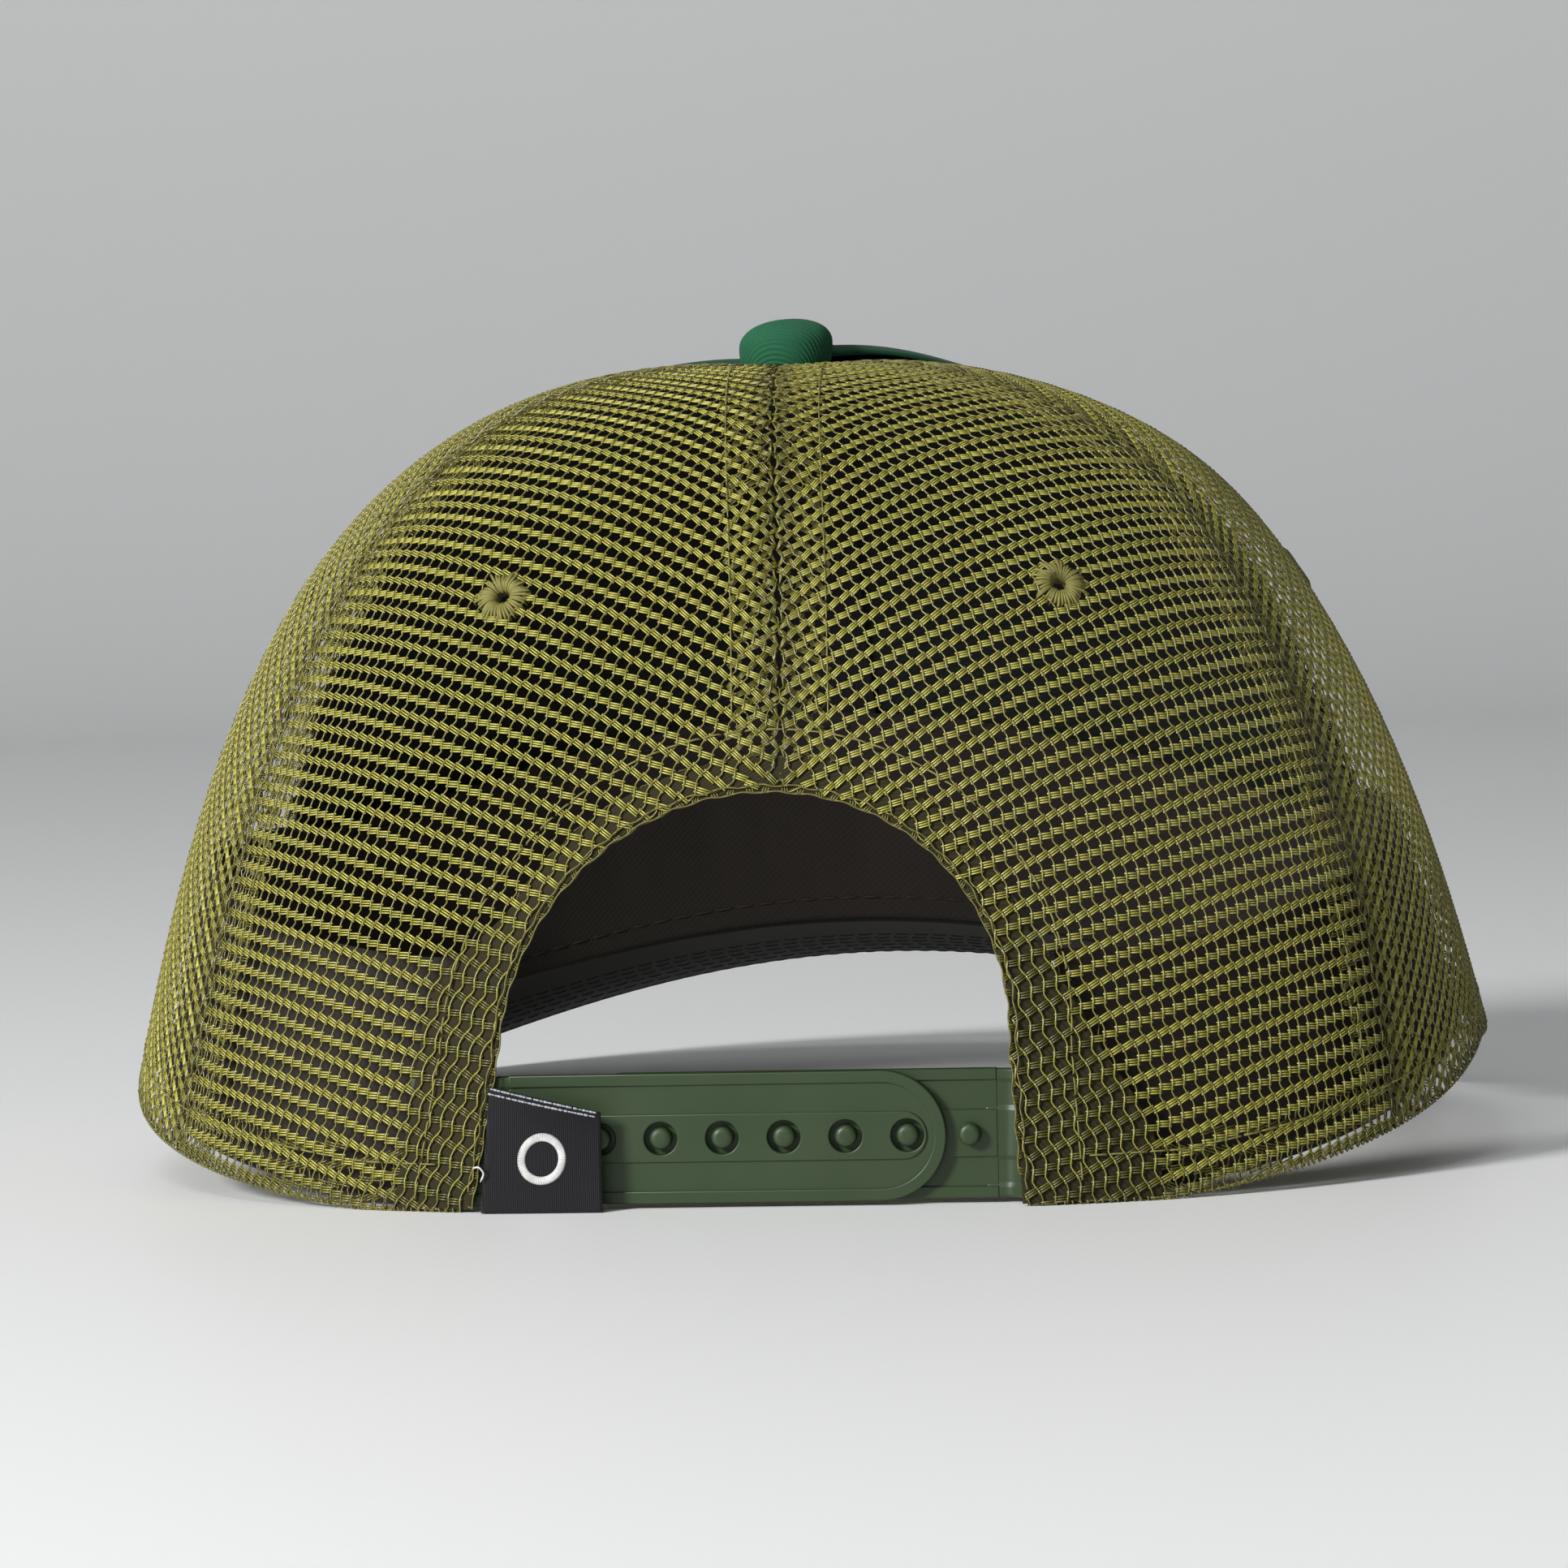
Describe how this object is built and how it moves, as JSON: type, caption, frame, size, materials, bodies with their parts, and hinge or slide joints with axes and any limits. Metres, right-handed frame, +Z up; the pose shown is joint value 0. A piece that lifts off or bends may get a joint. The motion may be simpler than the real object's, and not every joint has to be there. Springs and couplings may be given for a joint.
{
  "type": "trucker mesh cap",
  "caption": "Six-gore trucker cap with a knitted mesh back, twill front and curved visor, covered top button and a plastic snap strap across an arched back opening.",
  "frame": {"origin": "middle of the underside of the cap's box, on the table that its back hem and visor stand on", "axes": "+Z up, +Y towards the back of the cap and the snap strap, -Y towards the visor, +X towards the wearer's left"},
  "size_m": [0.1942, 0.2354, 0.1197],
  "materials": {
    "mesh": "olive polyester tricot mesh, slightly shiny yarn",
    "twill": "emerald-green cotton twill",
    "under_cloth": "grey-brown plain cloth",
    "sweatband": "dark brown cotton twill",
    "olive_thread": "satin-stitched embroidery thread",
    "green_thread": "satin-stitched embroidery thread",
    "buckram": "stiffened open weave",
    "seam_tape": "woven tape",
    "strap_plastic": "dark green moulded polyethylene, satin",
    "board": "polyethylene sheet",
    "label_satin": "black woven satin",
    "zinc_steel": "zinc-plated pressed steel"
  },
  "bodies": {
    "crown": {"back_mesh_left": "mesh", "back_mesh_right": "mesh", "side_mesh_left": "mesh", "side_mesh_right": "mesh", "front_panel_left": "twill", "front_panel_right": "twill", "front_buckram": "buckram", "centre_front_tape": "seam_tape", "side_front_tape_left": "seam_tape", "side_front_tape_right": "seam_tape", "opening_facing": "mesh", "sweatband": "sweatband", "visor_top_cover": "twill", "visor_board": "board", "visor_bottom_cover": "under_cloth", "button_cover": "twill", "button_shell": "zinc_steel", "button_rivet": "zinc_steel", "eyelet_back_left": "olive_thread", "eyelet_back_right": "olive_thread", "eyelet_side_left": "olive_thread", "eyelet_side_right": "olive_thread", "eyelet_front_left": "green_thread", "eyelet_front_right": "green_thread", "hole_strap_anchor": "strap_plastic", "pin_strap_anchor": "strap_plastic"},
    "hole_strap_flap": {"hole_strap": "strap_plastic"},
    "pin_strap_flap": {"pin_strap": "strap_plastic"},
    "label_flap": {"woven_label": "label_satin"}
  },
  "joints": [
    {"name": "hole_strap_bend", "type": "hinge", "parent": "crown", "child": "hole_strap_flap", "pos_m": [0.03513, 0.11335, 0.0095], "axis": [0, 0, -1], "range_deg": [0, 70], "stiffness_Nm_per_rad": 0.004},
    {"name": "pin_strap_bend", "type": "hinge", "parent": "crown", "child": "pin_strap_flap", "pos_m": [-0.03252, 0.11165, 0.0095], "axis": [0, 0, -1], "range_deg": [0, 25], "stiffness_Nm_per_rad": 0.004},
    {"name": "label_bend", "type": "hinge", "parent": "crown", "child": "label_flap", "pos_m": [0.0383, 0.11735, 0.008], "axis": [0, 0, -1], "range_deg": [0, 70]}
  ],
  "couplings": [
    {"joint": "label_bend", "follows": "hole_strap_bend", "ratio": 1}
  ]
}
